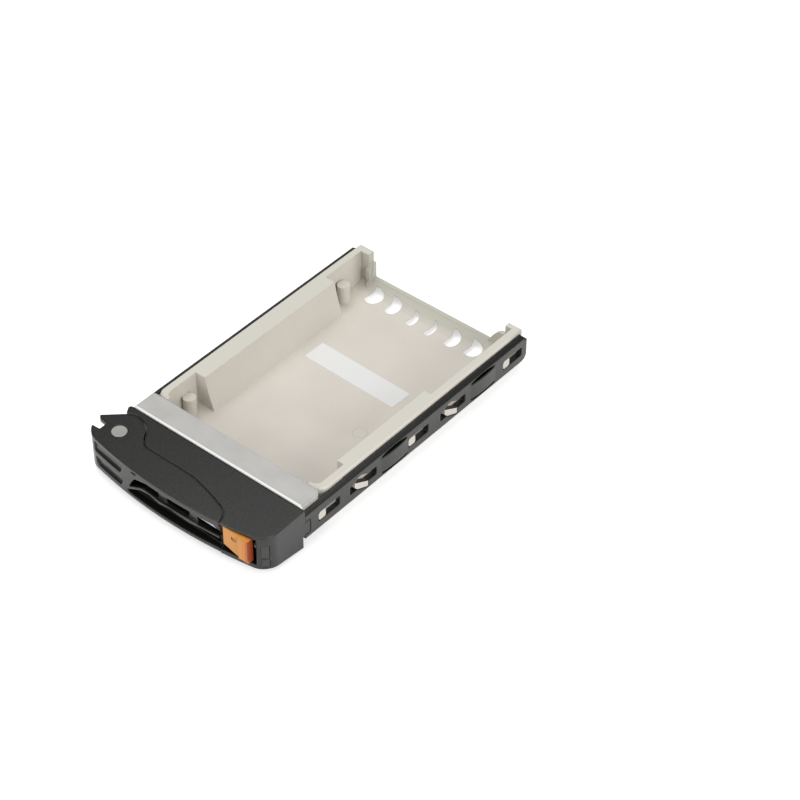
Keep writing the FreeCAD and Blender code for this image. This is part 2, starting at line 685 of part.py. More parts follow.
    top = insert_height.value
    edge_x = insert_half.value
    round_edges(body, "insert_top_edge", insert_edge, lambda box: (
        abs(box.ZMin - top) < 0.01 and abs(box.ZMax - top) < 0.01
        and max(abs(box.XMin), abs(box.XMax)) > edge_x - 0.01 and box.YMax - box.YMin > 3),
        "Chamfer")
    return body


def make_label():
    body = new_body("insert_label")
    paper = box_outline(body, "paper", "XY", 0, -label_length / 2, -label_depth / 2,
                        label_length / 2, label_depth / 2, label_corner)
    pad(body, paper, label_thick)
    body.Placement = Placement(Vector(label_x.value, label_y.value, insert_floor.value),
                               Rotation(Vector(0, 0, 1), label_turn.value))
    body.setExpression("Placement.Base.x", label_x.text)
    body.setExpression("Placement.Base.y", label_y.text)
    body.setExpression("Placement.Base.z", insert_floor.text)
    body.setExpression("Placement.Rotation.Angle", label_turn.text)
    return body


# Side rails, one moulding each, with their snap slots and bow springs
def make_rail(name):
    side = SIDES[name]
    body = new_body(name + "_rail")
    outside = side * (half_width + 1)
    bar = outline(body, "bar", "XZ", rear_y, [
        (side * rail_inner, rail_bottom), (side * half_width, rail_bottom),
        (side * half_width, rail_top_outer), (side * rail_inner, rail_top_inner)])
    pad(body, bar, rear_y - rail_front)

    def cut(label, corners, depth=None):
        sketch = outline(body, label, "YZ", outside, corners)
        pocket(body, sketch, depth, side < 0)

    def slot(label, y0, y1, z0, z1):
        sketch = box_outline(body, label, "YZ", outside, y0, z0, y1, z1, slot_corner)
        pocket(body, sketch, None, side < 0)

    radius = rail_rear_radius
    cut("rear_round", [
        (rear_y + 1, rail_bottom - 1), (rear_y + 1, rail_bottom + radius),
        (rear_y, rail_bottom + radius), Arc(radius), (rear_y - radius, rail_bottom),
        (rear_y - radius, rail_bottom - 1)])
    cut("rear_notch", [
        (rear_y - rail_notch_length, rail_top_outer - rail_notch_depth),
        (rear_y + 1, rail_top_outer - rail_notch_depth), (rear_y + 1, rail_top_inner + 1),
        (rear_y - rail_notch_length, rail_top_inner + 1)])
    slot_deep = tongue_reach + tongue_slit
    cut("tongue_notch", [
        (rail_front - 1, tongue_top + tongue_slit / 2),
        (rail_front + slot_deep, tongue_top + tongue_slit / 2),
        (rail_front + slot_deep, tongue_bottom - tongue_slit / 2),
        (rail_front + 0.4, tongue_bottom - tongue_slit), (rail_front - 1, tongue_bottom - 1)])
    for place, y0 in (("front", front_slot_y), ("middle", middle_slot_y), ("rear", rear_slot_y)):
        slot(place + "_slot", y0, y0 + slot_length, slot_bottom, slot_top)
    for place, y0 in (("front", window_front_y), ("rear", window_rear_y)):
        slot(place + "_window_slot", y0 - window_slot_front,
             y0 + window_length + window_slot_rear, slot_bottom, slot_top - 0.2)
        cut(place + "_window", [
            (y0, 9.5), (y0 + 1.9, window_top), (y0 + 3.4, window_top), (y0 + 6.5, 9.3),
            (y0 + window_length, window_bottom), (y0 + 6.0, window_bottom), (y0 + 1.5, 5.6),
            (y0 + 0.1, 6.9)])

    # Room on the inner face for the shield's arm
    seat = box_outline(body, "arm_seat", "YZ", side * arm_seat, rail_front - 1, rail_bottom - 1,
                       arm_rear + fit_gap, rail_top_inner + 1)
    pocket(body, seat, arm_seat - rail_inner + 1, side < 0)

    # Bow springs: a barrel shaped pocket with a thin skin, spanned by a bowed strip
    arch = -bow_pocket_arch
    for place, y0 in (("front", bow_front_y), ("rear", bow_rear_y)):
        y1 = y0 + bow_length
        cut(place + "_bow_pocket", [
            (y0, bow_pocket_low), Bow(arch), (y1, bow_pocket_low), (y1, bow_pocket_high),
            Bow(arch), (y0, bow_pocket_high)], half_width - rail_inner - bow_skin + 1)
        strip = outline(body, place + "_bow", "XY", bow_bottom, [
            (side * half_width, y0 - 0.3), Bow(-side * bow_rise), (side * half_width, y1 + 0.3),
            (side * (half_width - bow_thick), y1 + 0.3), Bow(side * bow_rise),
            (side * (half_width - bow_thick), y0 - 0.3)])
        pad(body, strip, bow_top - bow_bottom)
    return body


# Shield: one folded sheet with a top band, a pierced front web and two arms
def make_shield():
    body = new_body("emi_shield")
    inside = shield_half - sheet_thick
    bend = shield_bend
    fold = outline(body, "fold", "XZ", shield_rear, [
        (-shield_half, arm_bottom), (-inside, arm_bottom),
        (-inside, shield_top - sheet_thick, bend - sheet_thick),
        (inside, shield_top - sheet_thick, bend - sheet_thick),
        (inside, arm_bottom), (shield_half, arm_bottom), (shield_half, shield_top, bend),
        (-shield_half, shield_top, bend)])
    pad(body, fold, shield_rear - shield_front - sheet_thick)
    web = outline(body, "web", "XZ", shield_front, [
        (-shield_half, shield_bottom), (shield_half, shield_bottom),
        (shield_half, shield_top, bend), (-shield_half, shield_top, bend)])
    pad(body, web, sheet_thick, True)
    for name, side in SIDES.items():
        arm = box_outline(body, name + "_arm", "YZ", side * shield_half, shield_rear - 3,
                          arm_bottom, arm_rear, arm_top)
        pad(body, arm, sheet_thick, side > 0)
        top_cut = outline(body, name + "_band_corner", "XY", shield_top + 1, [
            (side * (shield_half + 1), shield_rear + 1),
            (side * (shield_half - shield_corner), shield_rear + 1),
            (side * (shield_half - shield_corner), shield_rear), Arc(side * shield_corner),
            (side * shield_half, shield_rear - shield_corner),
            (side * (shield_half + 1), shield_rear - shield_corner)])
        pocket(body, top_cut, shield_top - arm_top + 1)
        peg_low = slot_bottom + (slot_top - slot_bottom - peg_size) / 2
        eye = box_outline(body, name + "_eye", "YZ", side * (shield_half + 1),
                          front_slot_y + peg_start - fit_gap * 2, peg_low - fit_gap * 2,
                          front_slot_y + peg_start + peg_size + fit_gap * 2,
                          peg_low + peg_size + fit_gap * 2)
        pocket(body, eye, 2, side < 0)
    first_x = -web_pitch_x * (web_columns - 1) / 2 - web_hole_x / 2
    hole = box_outline(body, "web_hole", "XZ", shield_front - 1, first_x, shield_bottom + 1.2,
                       first_x + web_hole_x, shield_bottom + 1.2 + web_hole_z)
    first = pocket(body, hole, 2.2)
    grid = body.newObject("PartDesign::MultiTransform", "web_holes")
    grid.Originals = [first]
    across = doc.addObject("PartDesign::LinearPattern", "web_across")
    upward = doc.addObject("PartDesign::LinearPattern", "web_upward")
    body.addObject(across)
    body.addObject(upward)
    across.Direction = (hole, ["H_Axis"])
    across.Length = (web_pitch_x * (web_columns - 1)).value
    across.setExpression("Length", (web_pitch_x * (web_columns - 1)).text)
    across.Occurrences = web_columns
    upward.Direction = (hole, ["V_Axis"])
    upward.Length = (web_pitch_z * (web_rows - 1)).value
    upward.setExpression("Length", (web_pitch_z * (web_rows - 1)).text)
    upward.Occurrences = web_rows
    grid.Transformations = [across, upward]
    body.Tip = grid
    doc.recompute()
    front = shield_front.value
    top = shield_top.value
    round_edges(body, "shield_front_bend", bend - 0.02, lambda box: (
        abs(box.YMin - front) < 0.01 and abs(box.YMax - front) < 0.01
        and abs(box.ZMin - top) < 0.01))
    return body


# Curves that the bezel and the lever share
def front_y_at(x):
    """The curved front of the bezel, a round of bezel_curve about the middle line."""
    centre = bezel_front + bezel_curve
    return centre - root(bezel_curve * bezel_curve - x * x)


def top_slope(body, name):
    """Cut to the top plane that falls a little towards the front."""
    sketch = outline(body, name, "YZ", half_width + 5, [
        (bezel_rear + 1, bezel_top + bezel_top_drop / 20), (bezel_rear + 1, bezel_top + 3),
        (bezel_front - 3, bezel_top + 3), (bezel_front - 3, bezel_top - bezel_top_drop * 1.1)])
    pocket(body, sketch)


def curved_front(body):
    """Cut to the curved front and its rounded right corner."""
    far_front = bezel_front - 3
    core = bezel_curve - bezel_corner
    corner_x = half_width - bezel_corner
    centre_y = bezel_front + bezel_curve
    corner_y = centre_y - root(core * core - corner_x * corner_x)
    ratio = bezel_curve / core
    touch_x = corner_x * ratio
    touch_y = centre_y - (centre_y - corner_y) * ratio
    plan = outline(body, "front_plan", "XY", bezel_top + 2, [
        (half_width + 1, corner_y), (half_width, corner_y), Arc(bezel_corner),
        (touch_x, touch_y), Arc(bezel_curve), (-half_width - 1, front_y_at(half_width + 1)),
        (-half_width - 1, far_front - 1), (half_width + 1, far_front - 1)])
    pocket(body, plan)


def lever_outline(gap):
    """Rear edge of the lever from its free end to the hub, moved out by a gap."""
    return [
        (lever_end_x + gap, lever_end_y), Arc(-lever_bend_radius),
        (lever_bend_x + gap / 2, lever_bend_y + gap), Arc(-lever_sweep_radius),
        (0, lever_rear + gap), (hub_end_x + hub_run, lever_rear + gap, hub_fillet),
        (hub_end_x + gap * 2, hub_end_y + gap), Arc(-hub_radius - gap),
        (pivot_x - hub_start_x - gap * 0.4, pivot_y + hub_start_y + gap * 0.9)]


def make_bezel():
    body = new_body("bezel_housing")
    far_front = bezel_front - 3
    profile = outline(body, "profile", "YZ", -half_width, [
        (bezel_rear, bezel_top), (far_front, bezel_top), (far_front, bezel_chin),
        (bezel_chin_y, bezel_chin), (bezel_side_rear, bezel_foot),
        (bezel_side_rear, tongue_bottom - 0.9), (bezel_rear, tongue_bottom - tongue_slit / 2)])
    pad(body, profile, caddy_width)
    top_slope(body, "bezel_top_slope")

    curved_front(body)

    # Everything that the lever takes, with a seam around it
    gap = lever_seam
    lever_room = outline(body, "lever_room", "XY", bezel_top + 2, lever_outline(gap) + [
        (-34.9, -47.3), (ear_x, ear_y), (ear_x, bezel_rear - 0.5),
        (-half_width - 1, bezel_rear - 0.5), (-half_width - 1, far_front),
        (lever_end_x + gap, far_front)])
    pocket(body, lever_room)
    ear = outline(body, "ear_round", "XY", bezel_top + 2, [
        (ear_x, ear_y), Arc(ear_radius), (ear_x + ear_radius, bezel_rear),
        (ear_x + ear_radius, bezel_rear + 1), (-half_width - 1, bezel_rear + 1),
        (-half_width - 1, ear_y)])
    pocket(body, ear, bezel_top + 2 - rail_top_inner)

    # Rear hollow behind the inner grille
    hollow = outline(body, "hollow", "XY", bezel_top - bezel_skin - bezel_top_drop, [
        (-20.5, bezel_rear + 1), (-20.5, hollow_front, 1.5), (11.5, hollow_front, 1.5),
        (15.5, -54.6, 1.5), (cavity_right, -54.6, 0.8), (cavity_right, bezel_rear + 1)])
    pocket(body, hollow, bezel_top - bezel_skin - bezel_top_drop - bezel_skin - 1.2)

    # Openings of the inner grille, which let the air in behind the lever
    first = -19.0
    width = (30.5 - grille_bar * (grille_count - 1)) / grille_count
    for number in range(grille_count):
        left = first + (width + grille_bar) * number
        opening = box_outline(body, "grille%d" % (number + 1), "XZ", bezel_front + 4, left, 4.2,
                              left + width, 12.4, 0.8)
        pocket(body, opening, hollow_front - bezel_front - 3)

    # Boss for the lever pin, on a foot that reaches back to the bezel's rear wall
    foot = disc(body, "boss_foot", "XY", boss_low, pivot_x, pivot_y, boss_foot_radius)
    pad(body, foot, boss_foot_top - boss_low)
    boss_arm = box_outline(body, "boss_arm", "XY", boss_low, pivot_x - arm_half, pivot_y,
                           pivot_x + arm_half, pivot_y + hub_radius + 1)
    pad(body, boss_arm, boss_foot_top - boss_low)
    boss = disc(body, "boss", "XY", boss_low, pivot_x, pivot_y, boss_radius)
    pad(body, boss, boss_high - boss_low)
    bore = disc(body, "boss_bore", "XY", boss_high + 1, pivot_x, pivot_y,
                pin_radius + pin_clearance)
    pocket(body, bore, boss_high - boss_low + 2)

    # Opening of the release latch, with a slot behind it for the latch's stem
    opening = box_outline(body, "latch_opening", "XZ", far_front, lever_bend_x + 1,
                          cavity_bottom, cavity_right, cavity_top)
    pocket(body, opening, cavity_rear - far_front)
    guide = box_outline(body, "latch_guide", "XZ", cavity_rear - 0.5,
                        latch_stem_left - move_gap, latch_stem_low - move_gap,
                        latch_stem_right + latch_travel + move_gap, latch_stem_high + move_gap)
    pocket(body, guide, 4)

    # Two ways for the light pipes through the right column
    for name, low, high in (("lower", pipe_low, pipe_split_low),
                            ("upper", pipe_split_high, pipe_high)):
        way = box_outline(body, name + "_pipe_way", "XZ", far_front, pipe_left - fit_gap,
                          low - fit_gap, pipe_right + fit_gap, high + fit_gap)
        pocket(body, way, bezel_rear - far_front + 1)

    # Tongues that clip into the rails
    for name, side in SIDES.items():
        tongue = box_outline(body, name + "_tongue", "YZ", side * half_width,
                             bezel_rear - 0.4, tongue_bottom, bezel_rear + tongue_reach,
                             tongue_top)
        pad(body, tongue, half_width - arm_seat, side > 0)
    return body


# Lever handle, one moulding: hook, hub, hollow grip and pierced front
def inner_front_y_at(x):
    centre = bezel_front + bezel_curve
    inner = bezel_curve - lever_skin
    return centre - root(inner * inner - x * x)


def make_lever():
    body = new_body("lever_handle")
    start_x = 34.0
    plan = outline(body, "plan", "XY", lever_bottom, lever_outline(Size(0, "0")) + [
        (hook_tip_x, hook_tip_y, 0.3), (hook_tip_x + 1.0, pivot_y + 0.5),
        (hook_root_x, pivot_y, 0.3),
        (hook_root_x, tooth_y + 0.2, 0.3), (tooth_x, tooth_y), Bow(-0.8),
        (-start_x, front_y_at(start_x)), Arc(-bezel_curve), (lever_end_x, front_y_at(lever_end_x))])
    pad(body, plan, bezel_top - lever_bottom + 1)
    top_slope(body, "lever_top_slope")

    # Hollow between the top plate and the bottom plate, open to the rear
    plate_under = bezel_top - bezel_top_drop / 2 - lever_skin
    wall_x = lever_end_x - 1.3
    left_x = 34.6
    hollow = outline(body, "hollow", "XY", plate_under, [
        (wall_x, -40), (wall_x, inner_front_y_at(wall_x)), Arc(bezel_curve - lever_skin),
        (-left_x, inner_front_y_at(left_x)), (tooth_x + 1.4, tooth_y + 0.1), (-45, tooth_y + 0.1),
        (-45, -40)])
    pocket(body, hollow, plate_under - lever_bottom - lever_skin)
    strip_rear = bezel_front + strip_depth + 1.3
    under = box_outline(body, "under", "XY", lever_bottom + lever_skin, -45, strip_rear, 25, -40)
    pocket(body, under, lever_skin + 1)
    foot = disc(body, "foot", "XY", lever_bottom, pivot_x, pivot_y, foot_radius)
    pad(body, foot, lever_skin)

    # Pin bore and the flat seat of the pin's head
    bore = disc(body, "pin_bore", "XY", bezel_top + 1, pivot_x, pivot_y,
                pin_radius + pin_clearance)
    pocket(body, bore)
    seat = disc(body, "pin_head_seat", "XY", bezel_top + 1, pivot_x, pivot_y,
                pin_head_radius + pin_clearance)
    pocket(body, seat, bezel_top + 1 - pin_seat)

    # Two blind recesses at the left of the front, cut square to its curve
    recess_x = 27.5
    turn = -math.degrees(math.asin(recess_x / bezel_curve.value))
    place = Tilt(front_y_at(recess_x) - 0.5, -recess_x, turn)
    upper = outline(body, "upper_recess", "XZ", place, [
        (-7.8, 9.2, 0.5), (5.6, 9.2, 0.8), (7.5, 13.4, 0.5), (-7.8, 13.4, 0.5)])
    pocket(body, upper, recess_depth + 0.5)
    lower = outline(body, "lower_recess", "XZ", place, [
        (-6.9, 3.9, 1.4), (5.6, 3.9, 0.8), (7.2, 7.2, 0.8), (-7.6, 7.2, 0.6)])
    pocket(body, lower, recess_depth + 0.5)

    # Setback of the bars, then the openings on both sides of the wavy rib
    far_front = bezel_front - 3
    setback = box_outline(body, "bar_setback", "XZ", far_front, -5.2, 9.0, 11.4, 12.7)
    pocket(body, setback, 3 + 0.35 + recess_depth)
    slit = box_outline(body, "small_slot", "XZ", far_front, -16.3, 13.0, -14.0, 13.7, 0.3)
    pocket(body, slit, 3 + 0.6 + recess_depth)
    depth = vent_depth - far_front
    swoosh = outline(body, "swoosh_vent", "XZ", far_front, [
        (-5.1, 9.1), (-5.1, 12.7, 0.4), (-9.5, 12.7, 6.0), (-15.0, 11.2, 3.0), (-17.3, 7.5, 1.5),
        (-18.3, 5.6, 0.3), (-16.0, 7.0, 4.0), (-11.5, 9.4, 5.0), (-8.5, 9.4, 3.0)])
    pocket(body, swoosh, depth)
    middle = box_outline(body, "middle_vent", "XZ", far_front, -1.7, 9.1, 8.0, 12.6, 0.8)
    pocket(body, middle, depth)
    last = outline(body, "last_vent", "XZ", far_front, [
        (11.3, 8.7, 0.8), (lever_end_x + 1, 8.5), (lever_end_x + 1, 12.4), (11.3, 12.4, 0.8)])
    pocket(body, last, depth)
    long_vent = outline(body, "long_vent", "XZ", far_front, [
        (-18.6, 3.4, 0.3), (lever_end_x + 1, 3.4), (lever_end_x + 1, 7.8), (13.5, 8.1, 4.0),
        (8.5, 7.7, 4.0), (0.0, 8.6, 6.0), (-3.8, 7.9, 3.0), (-8.3, 8.8, 4.0), (-12.5, 8.1, 4.0),
        (-19.1, 4.3, 0.3)])
    pocket(body, long_vent, depth)
    return body


def make_pin():
    body = new_body("lever_pin")
    groove = pin_radius - 0.4
    low = lever_bottom - clip_thick - 0.05
    profile = outline(body, "profile", "XZ", 0, [
        (0, pin_end), (pin_radius - 0.2, pin_end), (pin_radius, pin_end + 0.2), (pin_radius, low),
        (groove, low), (groove, lever_bottom), (pin_radius, lever_bottom),
        (pin_radius, pin_seat), (pin_head_radius, pin_seat),
        (pin_head_radius, pin_seat + pin_head_height - 0.12),
        (pin_head_radius - 0.15, pin_seat + pin_head_height),
        (0, pin_seat + pin_head_height)])
    turned = body.newObject("PartDesign::Revolution", "turned")
    turned.Profile = profile
    turned.ReferenceAxis = (profile, ["V_Axis"])
    turned.Angle = 360
    finish(profile, turned, body)
    place_at_pivot(body)
    return body


def place_at_pivot(body):
    body.Placement = Placement(Vector(pivot_x.value, pivot_y.value, 0), Rotation())
    body.setExpression("Placement.Base.x", pivot_x.text)
    body.setExpression("Placement.Base.y", pivot_y.text)


def make_clip():
    """A retaining ring in the groove at the pin's lower end."""
    body = new_body("lever_pin_clip")
    top = lever_bottom - 0.02
    ring = disc(body, "ring", "XY", top, 0, 0, clip_radius)
    pad(body, ring, clip_thick, True)
    eye = disc(body, "eye", "XY", top, 0, 0, pin_radius - 0.38)
    pocket(body, eye, clip_thick + 1)
    mouth = box_outline(body, "mouth", "XY", top, -clip_mouth / 2, 0, clip_mouth / 2,
                        clip_radius + 1)
    pocket(body, mouth, clip_thick + 1)
    place_at_pivot(body)
    return body


def wire_length(name, wire, length, foot, turn_z, tilt):
    """A straight length of six sided wire from its foot, leaning away from Z."""
    item = doc.addObject("Part::Prism", name)
    item.Polygon = 6
    item.Circumradius = (wire / 2).value
    item.setExpression("Circumradius", (wire / 2).text)
    item.Height = length.value
    item.setExpression("Height", length.text)
    turn = Rotation(Vector(0, 0, 1), turn_z) * Rotation(Vector(0, 1, 0), tilt)
    item.Placement = Placement(Vector(*[value.value for value in foot]), turn)
    for axis, value in zip("xyz", foot):
        item.setExpression("Placement.Base." + axis, value.text)
    return item


def coil(name, radius, wire, pitch, turns, start):
    """Lengths of wire that follow a helix around Z, with a corner at each step."""
    step = 360.0 / coil_steps
    chord = radius * (2 * math.sin(math.radians(step / 2)))
    rise = pitch / coil_steps
    tilt = 90 - math.degrees(math.atan2(rise.value, chord.value))
    lap = wire / 2 * math.tan(math.radians(step / 2))
    length = root(chord * chord + rise * rise) + lap
    lengths = []
    for number in range(coil_steps * turns):
        angle = math.radians(step * number)
        foot = (radius * math.cos(angle), radius * math.sin(angle), start + rise * number)
        lengths.append(wire_length("%s_wire%d" % (name, number + 1), wire, length, foot,
                                   step * number + 90 + step / 2, tilt))
    return lengths


def joined(name, lengths):
    whole = doc.addObject("Part::MultiFuse", name)
    whole.Label = name
    whole.Shapes = lengths
    whole.Refine = False
    doc.recompute()
    return whole


def make_lever_spring():
    """Torsion spring around the boss, with one leg to the lever's front wall and
    one to the bezel's rear wall."""
    radius = boss_radius + spring_gap + spring_wire / 2
    start = boss_foot_top + spring_wire / 2 + 0.05
    end = start + spring_pitch * spring_turns
    lengths = coil("lever_spring", radius, spring_wire, spring_pitch, spring_turns, start)
    lengths.append(wire_length("front_leg", spring_wire, front_leg_length,
                               (radius, as_size(0), start), -90, 90))
    lengths.append(wire_length("rear_leg", spring_wire, rear_leg_length,
                               (radius, as_size(0), end), 90, 90))
    whole = joined("lever_spring", lengths)
    place_at_pivot(whole)
    return whole


def make_latch():
    body = new_body("release_latch")
    front = outline(body, "front", "XY", latch_top, [
        (latch_left, -63.85), (27.3, -64.0), (latch_ridge_left - 0.2, -63.8),
        (latch_ridge_left + 0.4, bezel_front + 0.35, 0.4), (30.4, bezel_front + 0.35, 0.7),
        (latch_right, -61.2), (latch_right - 0.3, -60.9), (latch_ridge_left, -60.9),
        (latch_ridge_left - 0.6, -63.9 + latch_plate_t), (latch_left, -63.85 + latch_plate_t)])
    pad(body, front, latch_top - latch_bottom, True)
    slant = outline(body, "slant", "XZ", bezel_front - 3, [
        (latch_left - 1, latch_plate_bottom + 0.3), (latch_ridge_left - 0.3, latch_bottom + 0.5),
        (latch_ridge_left + 0.5, latch_bottom - 0.02), (latch_ridge_left + 0.5, latch_bottom - 1),
        (latch_left - 1, latch_bottom - 1)])
    pocket(body, slant, 9)
    stem = box_outline(body, "stem", "XY", latch_stem_high, latch_stem_left, -62.9,
                       latch_stem_right, latch_stem_rear)
    pad(body, stem, latch_stem_high - latch_stem_low, True)
    wall_rear = cavity_rear + 2.0
    flange = box_outline(body, "flange", "XZ", wall_rear + move_gap, latch_stem_left,
                         latch_stem_low - flange_lip, latch_stem_right,
                         latch_stem_high + flange_lip)
    pad(body, flange, latch_stem_rear - wall_rear - move_gap, True)
    nose = box_outline(body, "nose", "XY", latch_top - 3, lever_end_x + move_gap, -62.6,
                       latch_stem_left + 0.5, -61.4)
    pad(body, nose, 3.5, True)
    dimple = disc(body, "dimple", "XZ", bezel_front - 3, latch_dimple_x, latch_dimple_z,
                  latch_dimple)
    pocket(body, dimple, 3 + 1.6)
    return body


def make_latch_spring():
    """Coil spring between the latch's stem and the right column of the bezel."""
    length = cavity_right - latch_stem_right - coil_wire - 0.1
    whole = joined("latch_spring", coil("latch_spring", coil_radius, coil_wire,
                                        length / coil_turns, coil_turns, coil_wire / 2 + 0.05))
    whole.Placement = Placement(Vector(latch_stem_right.value, coil_y.value, coil_z.value),
                                Rotation(Vector(0, 1, 0), 90))
    whole.setExpression("Placement.Base.x", latch_stem_right.text)
    whole.setExpression("Placement.Base.y", coil_y.text)
    whole.setExpression("Placement.Base.z", coil_z.text)
    return whole


def make_pipe(name, low, high):
    body = new_body("light_pipe_" + name)
    bar = box_outline(body, "bar", "XZ", pipe_rear, pipe_left, low, pipe_right, high)
    pad(body, bar, pipe_rear - bezel_front + 3)
    curved_front(body)
    return body


insert = make_insert()
label = make_label()
left_rail = make_rail("left")
right_rail = make_rail("right")
shield = make_shield()
bezel = make_bezel()
lever = make_lever()
pin = make_pin()
clip = make_clip()
lever_spring = make_lever_spring()
latch = make_latch()
latch_spring = make_latch_spring()
lower_pipe = make_pipe("lower", pipe_low, pipe_split_low)
upper_pipe = make_pipe("upper", pipe_split_high, pipe_high)
pieces = [insert, label, left_rail, right_rail, shield, bezel, lever, pin, clip, lever_spring,
          latch, latch_spring, lower_pipe, upper_pipe]

doc.recompute()
os.makedirs("parts", exist_ok=True)
for piece in pieces:
    shape = piece.Shape
    if shape.isNull() or not shape.isValid() or not shape.Solids:
        raise ValueError("%s has no sound solid" % piece.Label)
    shape.exportStep("parts/%s.step" % piece.Label)
    print(piece.Label, len(shape.Solids), round(shape.Volume, 1))
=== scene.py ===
import json
import math

import bmesh
import bpy
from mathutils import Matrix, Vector


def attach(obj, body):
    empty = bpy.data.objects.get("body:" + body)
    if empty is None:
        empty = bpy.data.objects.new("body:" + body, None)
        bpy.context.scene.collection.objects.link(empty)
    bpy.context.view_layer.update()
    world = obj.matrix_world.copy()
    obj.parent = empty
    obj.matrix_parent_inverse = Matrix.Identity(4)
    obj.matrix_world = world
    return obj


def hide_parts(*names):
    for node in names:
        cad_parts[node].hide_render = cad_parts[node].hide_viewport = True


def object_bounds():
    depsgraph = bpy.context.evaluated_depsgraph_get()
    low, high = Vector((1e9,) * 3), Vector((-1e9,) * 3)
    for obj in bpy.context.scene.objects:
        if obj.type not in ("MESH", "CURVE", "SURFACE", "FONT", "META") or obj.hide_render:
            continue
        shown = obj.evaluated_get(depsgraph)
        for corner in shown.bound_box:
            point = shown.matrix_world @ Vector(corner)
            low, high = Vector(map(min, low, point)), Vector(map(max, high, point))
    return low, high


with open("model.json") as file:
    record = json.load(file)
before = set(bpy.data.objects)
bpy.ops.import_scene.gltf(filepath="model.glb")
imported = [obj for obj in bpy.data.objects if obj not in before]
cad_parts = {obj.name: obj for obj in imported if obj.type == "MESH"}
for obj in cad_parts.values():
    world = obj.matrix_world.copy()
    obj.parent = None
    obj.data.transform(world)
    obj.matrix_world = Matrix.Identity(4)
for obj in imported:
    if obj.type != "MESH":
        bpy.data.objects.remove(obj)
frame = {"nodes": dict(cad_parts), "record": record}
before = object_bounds()

MM = 0.001

# Colours, linear
BLACK = (0.0085, 0.0083, 0.0074)
BLACK_TONE = (0.011, 0.0107, 0.0095)
SMOKE = (0.022, 0.022, 0.022)
SMOKE_TONE = (0.03, 0.03, 0.03)
BEIGE = (0.625, 0.585, 0.525)
BEIGE_TONE = (0.665, 0.625, 0.56)
RING_GREY = (0.46, 0.44, 0.38)
# Painted shade on the ramp
RAMP_SHADE = (0.47, 0.46, 0.395)
# Painted shade on the upward top faces
TOP_FACE_SHADE = (0.585, 0.57, 0.50)
# Painted shade on the lug tops
LUG_SHADE = (0.05, 0.048, 0.042)
ORANGE = (0.60, 0.235, 0.03)
ORANGE_TONE = (0.66, 0.27, 0.04)
# Painted shade: deeper orange on the latch ridge's right part
RIDGE_SIDE_SHADE = (0.60, 0.20, 0.018)
# Painted shade on the latch's right flank
FLANK_SHADE = (0.28, 0.045, 0.006)
DIMPLE_BROWN = (0.20, 0.16, 0.07)
ZINC = (0.47, 0.465, 0.445)
ZINC_TONE = (0.54, 0.535, 0.515)
# Painted highlight along the shield's front bend
BEND_HIGHLIGHT = (0.86, 0.86, 0.84)
# Painted shade on the shield's web inside the bezel
WEB_SHADE = (0.05, 0.05, 0.05)
PIN_STEEL = (0.34, 0.335, 0.315)
PIN_STEEL_TONE = (0.42, 0.415, 0.395)
WIRE = (0.5, 0.5, 0.5)
WIRE_TONE = (0.6, 0.6, 0.6)
# Light metal edges: partly wear, partly painted highlight
BARE_AND_HIGHLIT_EDGE = (0.9, 0.9, 0.88)
PAPER = (0.70, 0.70, 0.69)
PAPER_TONE = (0.76, 0.76, 0.745)
PALE_GREY = (0.80, 0.80, 0.80)
WHITE = (1.0, 1.0, 1.0)

# Places that a colour is painted at, in millimetres: X to the latch, Y to the rear, Z up.
# In a pair the colour starts at the first value and is full at the second.
EJECTOR_MARK = (17.8, 3.55, 1.5)
EJECTOR_RADIUS = 2.4
EJECTOR_LINE = (0.3, 0.1)
RAMP_RISE = (57.5, 61.0)
ABOVE_RAMP = (4.0, 4.3)
OUTSIDE_WALL = (34.95, 35.1)
LATCH_RIDGE = (30.1, 30.6)
LATCH_DIMPLE = (26.5, -64.6, 11.1)
LATCH_DIMPLE_EDGE = (1.35, 1.1)
SHIELD_BEND = (-43.05, -43.3)
SHIELD_BEHIND_BEND = (-43.3, -43.5)
SHIELD_WEB = (14.0, 13.4)

# Edges: the cosine between a true normal and a rounded one where the wear and painted
# highlight starts and is full
EDGE_WEAR_AND_HIGHLIGHT = (0.99, 0.8)
EDGE_SAMPLES = 6

# Sockets of the mix node that carry its share and its colours
MIX_SHARE = 0
MIX_LOW = 6
MIX_HIGH = 7
MIX_RESULT = 2


# Node helpers
def material(name):
    """An empty node material: its tree and the shader that feeds the output."""
    made = bpy.data.materials.new(name)
    made.use_nodes = True
    tree = made.node_tree
    tree.nodes.clear()
    output = tree.nodes.new("ShaderNodeOutputMaterial")
    shader = tree.nodes.new("ShaderNodeBsdfPrincipled")
    tree.links.new(shader.outputs["BSDF"], output.inputs["Surface"])
    return made, tree, shader


def node(tree, kind, links=None, **values):
    """A node with its values set and its inputs linked by name."""
    made = tree.nodes.new("ShaderNode" + kind)
    for name, value in values.items():
        if name in made.inputs:
            made.inputs[name].default_value = value
        else:
            setattr(made, name, value)
    for name, source in (links or {}).items():
        tree.links.new(source, made.inputs[name])
    return made


def set_input(item, name, value):
    item.inputs[name].default_value = value


def opaque(colour):
    """A colour with full alpha, as sockets take it."""
    return colour + (1.0,)


def shaded(colour, factor):
    """A colour made darker or lighter, and never past white."""
    return tuple(min(1.0, value * factor) for value in colour)


def object_space(tree, scale=(1, 1, 1)):
    """Object coordinates in millimetres, stretched by a scale."""
    where = node(tree, "TexCoord")
    stretch = node(tree, "Mapping", {"Vector": where.outputs["Object"]})
    set_input(stretch, "Scale", tuple(value / MM for value in scale))
    return stretch.outputs["Vector"]


def place_axes(tree):
    """X, Y and Z of the shaded place, in millimetres."""
    return node(tree, "SeparateXYZ", {"Vector": object_space(tree)}).outputs


